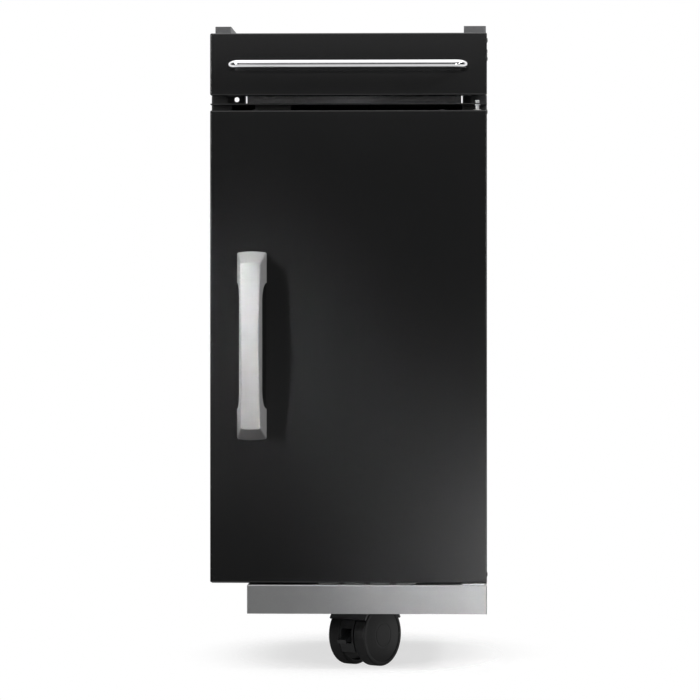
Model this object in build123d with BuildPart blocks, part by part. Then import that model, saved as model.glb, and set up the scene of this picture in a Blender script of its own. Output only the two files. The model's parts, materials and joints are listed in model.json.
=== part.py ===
from build123d import *
import os
from math import asin, cos, degrees, radians, sin

os.makedirs("parts", exist_ok=True)

# Grill side cabinet: a drawer over a tall cupboard, on a plinth that rolls on two twin-wheel casters.
# Millimetres. The front faces -Y, +Z is up, and the origin is on the floor under the middle of the box.

# Overall body
cabinet_width = 352.0
cabinet_depth = 460.0
panel_sheet = 1.0
bend_radius = 1.5
corner_radius = 3.0
fit_gap = 0.2
running_gap = 0.06
seat_gap = 0.3

# Plinth
plinth_clearance = 74.0
plinth_height = 37.0
plinth_inset = 47.0
plinth_sheet = 1.2
plinth_edge_radius = 2.0
vent_slots = 4
vent_slot_length = 25.0
vent_slot_width = 8.0
vent_slot_pitch = 33.0
vent_slot_setback = 8.0
vent_lip_height = 1.6

# Side panels
front_flanges = {"left": 26.0, "right": 31.7}
front_flange_lip = 7.0
bay_flange = 20.5
rear_flange = 15.0
rear_notch_margin = 5.0

# Cupboard floor, sill and back
floor_sheet = 1.2
floor_flange = 15.0
sill_height = 10.0
back_sheet = 0.8
back_vent_length = 42.0
back_vent_width = 6.0
back_vent_columns = 5
back_vent_rows = 4
back_vent_pitch = 52.0
back_vent_row_pitch = 14.0
back_vent_height = 90.0

# Door
door_height = 600.5
door_thickness = 22.0
door_sheet = 1.0
door_edge_radius = 2.0
door_floor_gap = 2.5
door_back_gap = 6.5
liner_sheet = 0.8
liner_flange = 6.0
plug_edge_distance = 57.0
plug_radius = 2.4
plug_head_radius = 3.4
plug_head_height = 1.3
plug_stem_length = 4.0

# Door pivots
hinge_edge_distance = 12.5
hinge_setback = 10.0
hinge_pin_radius = 2.5
hinge_pin_engagement = 10.0
hinge_pin_head_radius = 2.9
hinge_pin_head_height = 4.2
hinge_collar_radius = 4.0
hinge_collar_height = 1.2
bush_radius = 4.0
bush_length = 7.0
bush_flange_radius = 5.2
bush_flange_height = 0.7
hinge_plate_width = 33.0
hinge_plate_sheet = 1.5
hinge_plate_margin = 2.0

# Door handle
handle_length = 240.0
handle_projection = 42.0
handle_base_width = 37.5
handle_face_width = 22.9
handle_end_slope = 18.5
handle_foot_length = 40.0
handle_grip_thickness = 18.0
handle_end_crown = 1.7
handle_bow = 12.0
handle_corner_radius = 2.4
handle_edge_radius = 2.0
handle_edge_distance = 53.3
handle_height = 414.5

# Drawer front, box and pull
front_gap = 19.0
drawer_front_height = 79.0
drawer_front_thickness = 20.0
drawer_side_allowance = 36.5
drawer_box_length = 380.0
drawer_box_height = 44.0
drawer_box_lift = 27.0
drawer_sheet = 1.0
pull_edge_distance = 23.5
pull_diameter = 10.0
pull_standoff = 32.0
pull_drop = 1.5
pull_bend_radius = 12.0

# Deck, crossmember and rails
deck_sheet = 1.2
deck_drop = 10.1
deck_setback = 6.0
deck_flange = 12.0
crossmember_setback = 225.0
crossmember_end_gap = 1.5
crossmember_height = 28.0
crossmember_foot = 18.0
crossmember_sheet = 1.5
relief_slit_width = 1.7
relief_slit_edge_distance = 32.4
ear_hole_edge_distance = 19.3
ear_hole_radius = 3.3
ear_hole_height = 18.8
rail_sheet = 1.5
rail_width = 25.0
rail_tab = 10.0
rear_rail_height = 27.0

# Worktop brackets
worktop_lift = 15.0
bracket_widths = {"left": 20.5, "right": 28.5}
bracket_length = 108.0
bracket_setback = 80.0
bracket_sheet = 1.5
bracket_leg = 32.0
bracket_skirt = 18.0
worktop_hole_radius = 3.3
worktop_hole_spacing = 60.0
worktop_hole_inset = 10.25

# Bolt holes for the neighbouring grill, in the left side panel
host_hole_radius = 3.3
host_hole_spacing_y = 300.0
host_hole_spacing_z = 480.0
host_hole_height = 420.0

# Drawer slides
slide_height = 32.0
slide_thickness = 12.5
slide_sheet = 1.2
slide_lip = 3.9
slide_length = 380.0
slide_setback = 2.0
slide_drop = 29.0
glide_height = 1.0
glide_width = 3.5
runner_length = 370.0
runner_web_height = 18.0
runner_reach = 9.0
packer_length = 40.0
packer_sheet = 1.5
packer_setback = 8.0
packer_spacing = 295.0

# Catch and bumpers
catch_width = 46.0
catch_depth = 16.0
catch_height = 24.7
catch_edge_distance = 79.0
catch_screw_spacing = 30.0
strike_width = 40.0
strike_height = 14.0
strike_sheet = 1.2
bumper_radius = 6.0
bumper_stem_radius = 2.4
bumper_stem_length = 4.0
bumper_edge_distance = 13.0
bumper_margin = 37.0

# Fasteners
rivet_radius = 1.6
rivet_head_radius = 3.2
rivet_head_height = 1.2
rivet_length = 4.0
screw_radius = 2.0
screw_head_radius = 3.8
screw_head_height = 2.2
screw_length = 6.0
small_screw_radius = 1.5
small_head_radius = 2.8
small_head_height = 1.3
small_screw_length = 3.6
bolt_radius = 3.0
bolt_head_across_flats = 10.0
bolt_head_height = 4.0
thread_gap = 0.05
handle_screw_radius = 2.5
handle_screw_length = 13.0
pull_screw_length = 10.0
side_rivet_inset = 45.0
back_screw_inset = 40.0
plinth_screw_inset = 20.0
plinth_screw_setback = 32.0
hinge_screw_inset = 7.0
hinge_screw_spacing = 11.0
runner_rivet_inset = 60.0
box_screw_inset = 30.0
box_screw_margin = 12.0

# Casters
caster_x = 6.5
caster_inset = 84.0
caster_trail = 20.0
front_heading = 54.0
rear_heading = 90.0
wheel_diameter = 80.0
wheel_width = 17.0
wheel_gap = 24.0
wheel_shoulder = 0.8
wheel_rim = 5.5
wheel_hub_radius = 11.0
wheel_recess = 5.0
wheel_cap_radius = 34.5
wheel_cap_groove = 0.6
wheel_cap_crown = 0.9
axle_radius = 4.0
axle_length = 47.0
hood_web = 22.0
hood_gap = 1.3
hood_wall = 2.2
hood_tail_angle = 29.0
hood_lead_angle = 150.0
hood_foot_angle = 212.0
hood_boss_radius = 10.0
barrel_radius = 11.0
kingpin_radius = 5.0
kingpin_length = 40.0
bearing_radius = 12.0
bearing_height = 4.3
caster_plate_size = 66.0
caster_plate_sheet = 2.5
caster_bolt_spacing = 46.0
bearer_width = 76.0
bearer_thickness = 3.0
bearer_margin = 14.0
lever_pivot_reach = 24.0
lever_pivot_rise = 2.0
lever_hub_radius = 4.5
lever_length = 27.0
lever_thickness = 5.0
lever_width = 14.0
lever_slope = 19.0
lever_slot_height = 19.0
lever_slot_gap = 1.0
brake_pin_radius = 2.0

# Levels and faces worked out from the sizes above
side_x = cabinet_width / 2
inner_x = side_x - panel_sheet
front_y = (handle_projection - cabinet_depth - screw_head_height) / 2
back_y = front_y + cabinet_depth
flange_y = front_y + door_thickness + door_back_gap
plinth_top = plinth_clearance + plinth_height
plinth_left = -side_x + plinth_inset
plinth_x = (plinth_left + side_x) / 2
floor_top = plinth_top + floor_sheet
door_bottom = plinth_top + door_floor_gap
door_top = door_bottom + door_height
drawer_bottom = door_top + front_gap
drawer_top = drawer_bottom + drawer_front_height
deck_top = drawer_bottom - deck_drop
deck_bottom = deck_top - deck_sheet
worktop_level = drawer_top + worktop_lift
drawer_box_width = cabinet_width - 2 * drawer_side_allowance
hinge_x = side_x - hinge_edge_distance
hinge_y = front_y + hinge_setback
handle_x = -side_x + handle_edge_distance
drawer_middle = drawer_bottom + drawer_front_height / 2
slide_z = drawer_top - slide_drop
slide_y = flange_y + slide_setback
slide_web_x = drawer_box_width / 2 + slide_thickness
box_bottom = drawer_bottom + drawer_box_lift
box_front = front_y + drawer_front_thickness
bracket_y = front_y + bracket_setback
catch_x = -side_x + catch_edge_distance
catch_y = front_y + door_thickness + strike_sheet + seat_gap
bumper_x = -side_x + bumper_edge_distance
packer_ys = [slide_y + packer_setback + packer_length / 2 + step for step in (0, packer_spacing)]
plinth_inner_top = plinth_top - plinth_sheet
plate_top = plinth_inner_top - bearer_thickness
plate_bottom = plate_top - caster_plate_sheet

RIGHT, BACK, UP = Vector(1, 0, 0), Vector(0, 1, 0), Vector(0, 0, 1)
LEFT, FRONT, DOWN = -RIGHT, -BACK, -UP
SIDES = (("left", -1), ("right", 1))


def slab(low, high, mode=Mode.ADD):
    """Add or cut the block between two opposite corners."""
    middle = [(a + b) / 2 for a, b in zip(low, high)]
    with Locations(tuple(middle)):
        Box(*[abs(b - a) for a, b in zip(low, high)], mode=mode)


def peg(start, direction, radius, length, mode=Mode.ADD):
    """Add or cut a round bar that runs from a start point along a direction."""
    with Locations(Plane(origin=start, z_dir=direction).location):
        Cylinder(radius, length, align=(Align.CENTER, Align.CENTER, Align.MIN), mode=mode)


def fastener(seat, direction, shank, shank_length, head, head_height):
    """Add a headed fastener whose head sits on the seat point and whose shank goes along a direction."""
    peg(seat, direction, shank, shank_length)
    peg(seat, -direction, head, head_height)


def drill(points, direction, radius, depth):
    """Cut a round hole from each point, both ways along a direction."""
    for point in points:
        peg(Vector(point) - direction * depth, direction, radius, 2 * depth, mode=Mode.SUBTRACT)


def sheet_profile(plane, points, sheet):
    """A strip of sheet, folded with round bends along the middle line through the points."""
    with BuildSketch(plane) as profile:
        with BuildLine():
            FilletPolyline(*points, radius=bend_radius)
        trace(line_width=sheet)
    return profile.sketch


def crowned_bar(plane, width, length, crown):
    """A long rectangle whose two short ends bulge by a crown."""
    half, shoulder = width / 2, length / 2 - crown
    with BuildSketch(plane) as bar:
        with BuildLine():
            Line((half, -shoulder), (half, shoulder))
            ThreePointArc((half, shoulder), (0, length / 2), (-half, shoulder))
            Line((-half, shoulder), (-half, -shoulder))
            ThreePointArc((-half, -shoulder), (0, -length / 2), (half, -shoulder))
        make_face()
    return bar.sketch


def upright_plane(y):
    """The plane that faces the front at a given depth, with X to the right and Z up."""
    return Plane(origin=(0, y, 0), x_dir=(1, 0, 0), z_dir=(0, -1, 0))


def save(piece, name):
    """Name a finished piece and write it."""
    piece.part.label = name
    export_step(piece.part, f"parts/{name}.step")


# Where the fasteners go
deck_rivet_ys = [flange_y + side_rivet_inset, (flange_y + back_y) / 2, back_y - side_rivet_inset]
floor_rivet_z = floor_top + floor_flange / 2
deck_rivet_z = deck_bottom - deck_flange / 2
bracket_hole_ys = [bracket_y + bracket_length / 2 + step * worktop_hole_spacing / 2 for step in (-1, 1)]
bracket_rivet_z = drawer_top - bracket_leg / 2
rail_y = flange_y + panel_sheet + bend_radius
rail_rivet = (rail_y + rail_width / 2, drawer_top - rail_sheet - rail_tab / 2)
floor_rivets = [(y, floor_rivet_z) for y in deck_rivet_ys]
deck_rivets = [(y, deck_rivet_z) for y in deck_rivet_ys]
bracket_rivets = [(y, bracket_rivet_z) for y in bracket_hole_ys]
packer_rivets = [(y, slide_z) for y in packer_ys]
side_rivets = floor_rivets + deck_rivets + bracket_rivets + packer_rivets + [rail_rivet]
back_screw_x = side_x - rear_flange / 2
back_screw_zs = [floor_top + back_screw_inset, (floor_top + deck_bottom) / 2, deck_bottom - back_screw_inset,
                 drawer_top - rear_rail_height / 2]
back_screw_spots = [(sign * back_screw_x, back_y, z) for _, sign in SIDES for z in back_screw_zs]
plinth_screw_spots = [(x, y, floor_top) for x in (plinth_left + plinth_screw_inset, side_x - plinth_screw_inset)
                      for y in (flange_y + plinth_screw_setback, back_y - plinth_screw_setback)]
hinge_plate_x = side_x - hinge_plate_width
hinge_screw_spots = [(hinge_plate_x + hinge_screw_inset, y, plinth_top + hinge_plate_sheet)
                     for y in (hinge_y, hinge_y + hinge_screw_spacing)]
host_hole_spots = [(-side_x, step_y * host_hole_spacing_y / 2, host_hole_height + step_z * host_hole_spacing_z / 2)
                   for step_y in (-1, 1) for step_z in (-1, 1)]
bumper_spots = [(bumper_x, flange_y, z) for z in (door_bottom + bumper_margin, door_top - bumper_margin)]


def drill_sides(spots, sign):
    """Cut the rivet holes of one side at the given depths and heights."""
    drill([(sign * side_x, y, z) for y, z in spots], RIGHT, rivet_radius + thread_gap, rivet_length + 1)


# Side panels: one folded sheet each, with a flange behind the door and a notched one at the back
for side, sign in SIDES:
    lip_x = side_x - front_flanges[side] + panel_sheet / 2
    web_x = side_x - panel_sheet / 2
    fold = [
        (sign * lip_x, flange_y + front_flange_lip),
        (sign * lip_x, flange_y + panel_sheet / 2),
        (sign * web_x, flange_y + panel_sheet / 2),
        (sign * web_x, back_y - panel_sheet / 2),
        (sign * (side_x - rear_flange), back_y - panel_sheet / 2),
    ]
    with BuildPart() as side_panel:
        extrude(sheet_profile(Plane.XY.offset(plinth_top), fold, panel_sheet), amount=drawer_top - plinth_top)
        slab(
            (sign * (side_x - front_flanges[side] - 1), flange_y - 1, deck_bottom - fit_gap),
            (sign * (side_x - bay_flange), flange_y + front_flange_lip + 1, drawer_top + 1),
            mode=Mode.SUBTRACT,
        )
        slab(
            (sign * (side_x - rear_flange - 1), back_y - rear_notch_margin, deck_top + rear_notch_margin),
            (sign * (side_x + 1), back_y + 1, drawer_top - rear_rail_height - rear_notch_margin),
            mode=Mode.SUBTRACT,
        )
        drill_sides(side_rivets, sign)
        drill([spot for spot in back_screw_spots if spot[0] * sign > 0], BACK, screw_radius + thread_gap, 3)
        if side == "left":
            drill(host_hole_spots, RIGHT, host_hole_radius, 3)
            drill(bumper_spots, BACK, bumper_stem_radius + thread_gap, 3)
    save(side_panel, f"{side}_side_panel")

# Cupboard floor with upturned sides and a sill behind the door
floor_x = inner_x - fit_gap / 2
sill_left = -side_x + front_flanges["left"] + fit_gap
sill_right = side_x - front_flanges["right"] - fit_gap
floor_y = flange_y + front_flange_lip + fit_gap
with BuildPart() as floor_panel:
    slab((-floor_x, floor_y, plinth_top), (floor_x, back_y - panel_sheet, floor_top))
    fillet(floor_panel.edges().filter_by(Axis.Z).group_by(Axis.Y)[-1], corner_radius)
    slab((sill_left, flange_y, plinth_top), (sill_right, floor_y, floor_top))
    slab((sill_left, flange_y, plinth_top), (sill_right, flange_y + floor_sheet, floor_top + sill_height))
    for _, sign in SIDES:
        slab(
            (sign * (floor_x - floor_sheet), floor_y, plinth_top),
            (sign * floor_x, back_y - panel_sheet - back_sheet - 1, floor_top + floor_flange),
        )
        drill_sides(floor_rivets, sign)
    drill(plinth_screw_spots, UP, screw_radius + thread_gap, floor_sheet + 1)
save(floor_panel, "floor_panel")

# Back of the cupboard, vented near its foot
back_front_y = back_y - panel_sheet - back_sheet
back_x = inner_x - bend_radius
with BuildPart() as back_panel:
    slab((-back_x, back_front_y, floor_top), (back_x, back_y - panel_sheet, deck_bottom))
    with Locations(Location((0, back_y - panel_sheet, floor_top + back_vent_height), (90, 0, 0))):
        with GridLocations(back_vent_pitch, back_vent_row_pitch, back_vent_columns, back_vent_rows):
            Box(back_vent_length, back_vent_width, 4 * back_sheet, mode=Mode.SUBTRACT)
    drill(back_screw_spots[:3] + back_screw_spots[4:7], BACK, screw_radius + thread_gap, 5)
save(back_panel, "back_panel")

# Plinth: a pan open below, with lipped vent slots under the door
with BuildPart() as plinth:
    slab((plinth_left, front_y, plinth_clearance), (side_x, back_y, plinth_top))
    fillet(plinth.edges().filter_by(Axis.Z), plinth_edge_radius)
    fillet(plinth.faces().sort_by(Axis.Z)[-1].edges(), plinth_edge_radius)
    offset(amount=-plinth_sheet, openings=plinth.faces().sort_by(Axis.Z)[0])
    with BuildSketch(Plane.XY.offset(plinth_top)):
        with Locations((plinth_x, front_y + vent_slot_setback)):
            with GridLocations(vent_slot_pitch, 0, vent_slots, 1):
                SlotOverall(vent_slot_length, vent_slot_width)
    extrude(amount=-2 * plinth_sheet, mode=Mode.SUBTRACT)
    lip_y = front_y + vent_slot_setback + vent_slot_width / 2
    for step in range(vent_slots):
        lip_middle = plinth_x + (step - (vent_slots - 1) / 2) * vent_slot_pitch
        slab(
            (lip_middle - vent_slot_length / 2, lip_y, plinth_inner_top),
            (lip_middle + vent_slot_length / 2, lip_y + plinth_sheet, plinth_top + vent_lip_height),
        )
    drill(plinth_screw_spots + hinge_screw_spots, UP, screw_radius + thread_gap, 2 * plinth_sheet + floor_sheet)
save(plinth, "plinth")

# Strap under the plinth, tapped for the caster bolts
front_caster_y = front_y + caster_inset
rear_caster_y = back_y - caster_inset
bolt_steps = [step * caster_bolt_spacing / 2 for step in (-1, 1)]
bolt_spots = [(caster_x + dx, y + dy, plate_bottom)
              for y in (front_caster_y, rear_caster_y) for dx in bolt_steps for dy in bolt_steps]
with BuildPart() as caster_bearer:
    slab(
        (caster_x - bearer_width / 2, front_y + plinth_sheet + bearer_margin, plate_top),
        (caster_x + bearer_width / 2, back_y - plinth_sheet - bearer_margin, plinth_inner_top),
    )
    drill(bolt_spots, UP, bolt_radius + thread_gap, 20)
save(caster_bearer, "caster_bearer")

bolt_length = caster_plate_sheet + bearer_thickness - fit_gap
with BuildPart() as caster_bolts:
    for spot in bolt_spots:
        peg(spot, UP, bolt_radius, bolt_length)
        with BuildSketch(Plane(origin=spot, z_dir=DOWN)):
            RegularPolygon(bolt_head_across_flats / 2, 6, major_radius=False)
        extrude(amount=bolt_head_height)
save(caster_bolts, "caster_bolts")

# Deck between drawer and cupboard, notched round the side flanges; its front edge oversails the door
deck_front = front_y + deck_setback
notch_y = flange_y - fit_gap
with BuildPart() as deck:
    slab((-side_x, deck_front, deck_bottom), (side_x, notch_y, deck_top))
    slab((sill_left, notch_y, deck_bottom), (sill_right, floor_y, deck_top))
    slab((-floor_x, floor_y, deck_bottom), (floor_x, back_y - panel_sheet, deck_top))
    fillet(deck.edges().filter_by(Axis.Z).group_by(Axis.Y)[-1], corner_radius)
    for _, sign in SIDES:
        slab(
            (sign * (floor_x - deck_sheet), floor_y + deck_flange, deck_bottom - deck_flange),
            (sign * floor_x, back_front_y - deck_flange, deck_top),
        )
        drill_sides(deck_rivets, sign)
    drill([(hinge_x, hinge_y, deck_top)], UP, hinge_pin_radius + thread_gap, 5)
    catch_screw_spots = [(catch_x + step * catch_screw_spacing / 2, catch_y + catch_depth / 2, deck_top)
                         for step in (-1, 1)]
    drill(catch_screw_spots, UP, small_screw_radius + thread_gap, 3)
save(deck, "deck")

# Crossmember on the deck: an angle whose upright is split by two relief slits, with a fixing hole at the left
cross_y = front_y + crossmember_setback
cross_x = side_x - crossmember_end_gap
ear_hole_x = -side_x + ear_hole_edge_distance
with BuildPart() as bay_crossmember:
    slab((-cross_x, cross_y, deck_top), (cross_x, cross_y + crossmember_foot, deck_top + crossmember_sheet))
    slab((-cross_x, cross_y, deck_top), (cross_x, cross_y + crossmember_sheet, deck_top + crossmember_height))
    for _, sign in SIDES:
        slit = sign * (side_x - relief_slit_edge_distance)
        slab(
            (slit - relief_slit_width / 2, cross_y - 1, deck_top + 2 * crossmember_sheet),
            (slit + relief_slit_width / 2, cross_y + 2 * crossmember_sheet, deck_top + crossmember_height + 1),
            mode=Mode.SUBTRACT,
        )
    drill([(ear_hole_x, cross_y, deck_top + ear_hole_height)], BACK, ear_hole_radius, 4)
save(bay_crossmember, "bay_crossmember")

# Ties between the tops of the sides
with BuildPart() as front_top_rail:
    slab((-floor_x, rail_y, drawer_top - rail_sheet), (floor_x, rail_y + rail_width, drawer_top))
    for _, sign in SIDES:
        slab(
            (sign * (floor_x - rail_sheet), rail_y, drawer_top - rail_sheet - rail_tab),
            (sign * floor_x, rail_y + rail_width, drawer_top),
        )
        drill_sides([rail_rivet], sign)
save(front_top_rail, "front_top_rail")

rail_back = back_y - panel_sheet
with BuildPart() as rear_top_rail:
    slab((-back_x, rail_back - rail_width, drawer_top - rail_sheet), (back_x, rail_back, drawer_top))
    slab((-back_x, rail_back - rail_sheet, drawer_top - rear_rail_height), (back_x, rail_back, drawer_top))
    drill([back_screw_spots[3], back_screw_spots[7]], BACK, screw_radius + thread_gap, 5)
save(rear_top_rail, "rear_top_rail")

# Worktop brackets: channels that stand 15 mm above the drawer front and carry a worktop
for side, sign in SIDES:
    outer, inner = sign * inner_x, sign * (inner_x - bracket_widths[side])
    hole_x = sign * (inner_x - worktop_hole_inset)
    bracket_back = bracket_y + bracket_length
    skirt_z = worktop_level - bracket_skirt
    with BuildPart() as worktop_bracket:
        slab((outer, bracket_y, worktop_level - bracket_sheet), (inner, bracket_back, worktop_level))
        slab(
            (outer, bracket_y, drawer_top - bracket_leg),
            (outer - sign * bracket_sheet, bracket_back, worktop_level),
        )
        slab((inner, bracket_y, skirt_z), (inner + sign * bracket_sheet, bracket_back, worktop_level))
        slab((outer, bracket_y, skirt_z), (inner, bracket_y + bracket_sheet, worktop_level))
        corners = worktop_bracket.edges().filter_by(Axis.Z).group_by(Axis.Y)[0].sort_by(Axis.X)
        fillet([corners[0], corners[-1]], bend_radius * 0.9)
        drill([(hole_x, y, worktop_level) for y in bracket_hole_ys], UP, worktop_hole_radius, 5)
        drill_sides(bracket_rivets, sign)
    save(worktop_bracket, f"{side}_worktop_bracket")

# Fasteners of the body
with BuildPart() as body_rivets:
    for _, sign in SIDES:
        for y, z in side_rivets:
            fastener(Vector(sign * side_x, y, z), RIGHT * -sign, rivet_radius, rivet_length,
                     rivet_head_radius, rivet_head_height)
save(body_rivets, "body_rivets")

with BuildPart() as back_screws:
    for spot in back_screw_spots:
        fastener(Vector(spot), FRONT, screw_radius, screw_length, screw_head_radius, screw_head_height)
save(back_screws, "back_screws")

with BuildPart() as plinth_screws:
    for spot in plinth_screw_spots:
        fastener(Vector(spot), DOWN, screw_radius, screw_length, screw_head_radius, screw_head_height)
    for spot in hinge_screw_spots:
        peg(spot, DOWN, screw_radius, screw_length)
save(plinth_screws, "plinth_screws")

# Door pivots: a pin through the deck above, and a pin on a plate on the plinth below
bush_seat = door_top + bush_flange_height
with BuildPart() as upper_hinge_pin:
    peg((hinge_x, hinge_y, door_top - hinge_pin_engagement), UP, hinge_pin_radius,
        deck_top - door_top + hinge_pin_engagement)
    peg((hinge_x, hinge_y, deck_top), UP, hinge_pin_head_radius, hinge_pin_head_height)
    peg((hinge_x, hinge_y, deck_bottom), DOWN, hinge_collar_radius, hinge_collar_height)
    fillet(upper_hinge_pin.faces().sort_by(Axis.Z)[-1].edges(), hinge_pin_head_radius / 3)
save(upper_hinge_pin, "upper_hinge_pin")

hinge_plate_top = plinth_top + hinge_plate_sheet
with BuildPart() as lower_hinge_plate:
    slab(
        (hinge_plate_x, front_y + hinge_plate_margin, plinth_top),
        (side_x - hinge_plate_margin, notch_y - fit_gap, hinge_plate_top),
    )
    fillet(lower_hinge_plate.edges().filter_by(Axis.Z), hinge_plate_margin)
    drill([(hinge_x, hinge_y, plinth_top)], UP, hinge_pin_radius + thread_gap, 5)
    drill(hinge_screw_spots, UP, screw_radius + thread_gap, 5)
save(lower_hinge_plate, "lower_hinge_plate")

with BuildPart() as lower_hinge_pin:
    peg((hinge_x, hinge_y, plinth_top), UP, hinge_pin_radius,
        door_bottom - plinth_top + hinge_pin_engagement)
    chamfer(lower_hinge_pin.faces().sort_by(Axis.Z)[-1].edges(), hinge_pin_radius / 4)
save(lower_hinge_pin, "lower_hinge_pin")

# Catch under the deck, and the bumpers that the closed door meets
with BuildPart() as magnet_catch:
    slab(
        (catch_x - catch_width / 2, catch_y, deck_bottom - catch_height),
        (catch_x + catch_width / 2, catch_y + catch_depth, deck_bottom),
    )
    fillet(magnet_catch.edges().filter_by(Axis.Z), panel_sheet)
    drill([(x, y, deck_bottom) for x, y, _ in catch_screw_spots], UP, small_screw_radius + thread_gap, 8)
save(magnet_catch, "magnet_catch")

catch_screw_length = deck_sheet + 6
with BuildPart() as catch_screws:
    for spot in catch_screw_spots:
        fastener(Vector(spot), DOWN, small_screw_radius, catch_screw_length, small_head_radius, small_head_height)
save(catch_screws, "catch_screws")

with BuildPart() as door_bumpers:
    for spot in bumper_spots:
        fastener(Vector(spot), BACK, bumper_stem_radius, bumper_stem_length,
                 bumper_radius, door_back_gap - seat_gap)
    fillet(door_bumpers.faces().group_by(Axis.Y)[0].edges(), bumper_radius / 4)
save(door_bumpers, "door_bumpers")

# Drawer slides, held off the side panels by packers so that they clear the front flanges
with BuildPart() as slide_packers:
    for _, sign in SIDES:
        for y in packer_ys:
            half, half_z = packer_length / 2, slide_height / 2
            outer, inner = sign * inner_x, sign * slide_web_x
            slab((outer, y - half, slide_z - half_z), (inner, y + half, slide_z + half_z))
            slab(
                (outer - sign * packer_sheet, y - half - 1, slide_z - half_z + packer_sheet),
                (inner + sign * packer_sheet, y + half + 1, slide_z + half_z - packer_sheet),
                mode=Mode.SUBTRACT,
            )
        drill_sides(packer_rivets, sign)
        drill([(sign * slide_web_x, y, slide_z) for y in packer_ys], RIGHT, small_screw_radius + thread_gap, 3)
save(slide_packers, "slide_packers")

rail_half = (slide_height - slide_sheet) / 2
mouth_x = slide_web_x - slide_thickness + slide_sheet / 2 + 2 * runner_reach / 9
runner_x = drawer_box_width / 2 + slide_sheet / 2
arm_half = (runner_web_height - slide_sheet) / 2
flange_x = drawer_box_width / 2 + runner_reach - slide_sheet / 2
flange_half = slide_height / 2 - slide_sheet - glide_height - seat_gap
runner_rivet_ys = [slide_y + runner_rivet_inset, slide_y + runner_length - runner_rivet_inset]
for side, sign in SIDES:
    web_x = slide_web_x - slide_sheet / 2
    channel = [
        (sign * mouth_x, slide_z + rail_half - slide_lip),
        (sign * mouth_x, slide_z + rail_half),
        (sign * web_x, slide_z + rail_half),
        (sign * web_x, slide_z - rail_half),
        (sign * mouth_x, slide_z - rail_half),
        (sign * mouth_x, slide_z - rail_half + slide_lip),
    ]
    with BuildPart() as slide:
        extrude(sheet_profile(upright_plane(slide_y), channel, slide_sheet), amount=-slide_length)
        drill([(sign * slide_web_x, y, slide_z) for y in packer_ys], RIGHT, small_screw_radius + thread_gap, 3)
    save(slide, f"{side}_slide")

    hat = [
        (sign * flange_x, slide_z + flange_half),
        (sign * flange_x, slide_z + arm_half),
        (sign * runner_x, slide_z + arm_half),
        (sign * runner_x, slide_z - arm_half),
        (sign * flange_x, slide_z - arm_half),
        (sign * flange_x, slide_z - flange_half),
    ]
    with BuildPart() as runner:
        extrude(sheet_profile(upright_plane(slide_y), hat, slide_sheet), amount=-runner_length)
        drill([(sign * drawer_box_width / 2, y, slide_z) for y in runner_rivet_ys], RIGHT, rivet_radius + thread_gap, 3)
    save(runner, f"{side}_runner")

glide_z = slide_height / 2 - slide_sheet
with BuildPart() as slide_glides:
    for _, sign in SIDES:
        for edge in (-1, 1):
            slab(
                (sign * (flange_x - glide_width / 2), slide_y, slide_z + edge * glide_z),
                (sign * (flange_x + glide_width / 2), slide_y + slide_length,
                 slide_z + edge * (glide_z - glide_height)),
            )
save(slide_glides, "slide_glides")

with BuildPart() as slide_screws:
    for _, sign in SIDES:
        for y in packer_ys:
            seat = Vector(sign * (slide_web_x - slide_sheet), y, slide_z)
            fastener(seat, RIGHT * sign, small_screw_radius, small_screw_length, small_head_radius, small_head_height)
save(slide_screws, "slide_screws")

# Drawer box, front and pull
box_x = drawer_box_width / 2
box_screw_spots = [(x, box_front + drawer_sheet, box_bottom + z)
                   for x in (-box_x + box_screw_inset, box_x - box_screw_inset)
                   for z in (box_screw_margin, drawer_box_height - box_screw_margin)]
runner_rivet_spots = [(sign * box_x, y, slide_z) for _, sign in SIDES for y in runner_rivet_ys]
with BuildPart() as drawer_box:
    slab((-box_x, box_front, box_bottom), (box_x, box_front + drawer_box_length, box_bottom + drawer_box_height))
    fillet(drawer_box.edges().filter_by(Axis.Z), bend_radius)
    offset(amount=-drawer_sheet, openings=drawer_box.faces().sort_by(Axis.Z)[-1])
    drill(box_screw_spots, BACK, screw_radius + thread_gap, 3)
    drill(runner_rivet_spots, RIGHT, rivet_radius + thread_gap, 3)
save(drawer_box, "drawer_box")

with BuildPart() as runner_rivets:
    for _, sign in SIDES:
        for y in runner_rivet_ys:
            seat = Vector(sign * (box_x + slide_sheet), y, slide_z)
            fastener(seat, RIGHT * -sign, rivet_radius, slide_sheet + drawer_sheet + 1,
                     rivet_head_radius, rivet_head_height)
save(runner_rivets, "runner_rivets")

pull_leg_x = side_x - pull_edge_distance - pull_diameter / 2
pull_level = drawer_middle - pull_drop
pull_spots = [(sign * pull_leg_x, front_y, pull_level) for _, sign in SIDES]
with BuildPart() as drawer_front:
    slab((-side_x, front_y, drawer_bottom), (side_x, front_y + drawer_front_thickness, drawer_top))
    fillet(drawer_front.edges().filter_by(Axis.Y), door_edge_radius)
    fillet(drawer_front.faces().sort_by(Axis.Y)[0].edges(), door_edge_radius)
    offset(amount=-door_sheet, openings=drawer_front.faces().sort_by(Axis.Y)[-1])
    drill(pull_spots, BACK, screw_radius + thread_gap, 3)
save(drawer_front, "drawer_front")

tray_gap = door_sheet + fit_gap / 2
with BuildPart() as drawer_front_liner:
    slab(
        (-side_x + tray_gap, box_front - liner_flange, drawer_bottom + tray_gap),
        (side_x - tray_gap, box_front, drawer_top - tray_gap),
    )
    fillet(drawer_front_liner.edges().filter_by(Axis.Y), door_edge_radius)
    offset(amount=-liner_sheet, openings=drawer_front_liner.faces().sort_by(Axis.Y)[0])
    drill(box_screw_spots, BACK, screw_radius + thread_gap, 3)
save(drawer_front_liner, "drawer_front_liner")

with BuildPart() as drawer_screws:
    for spot in box_screw_spots:
        fastener(Vector(spot), FRONT, screw_radius, screw_length, screw_head_radius, screw_head_height)
save(drawer_screws, "drawer_screws")

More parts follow.
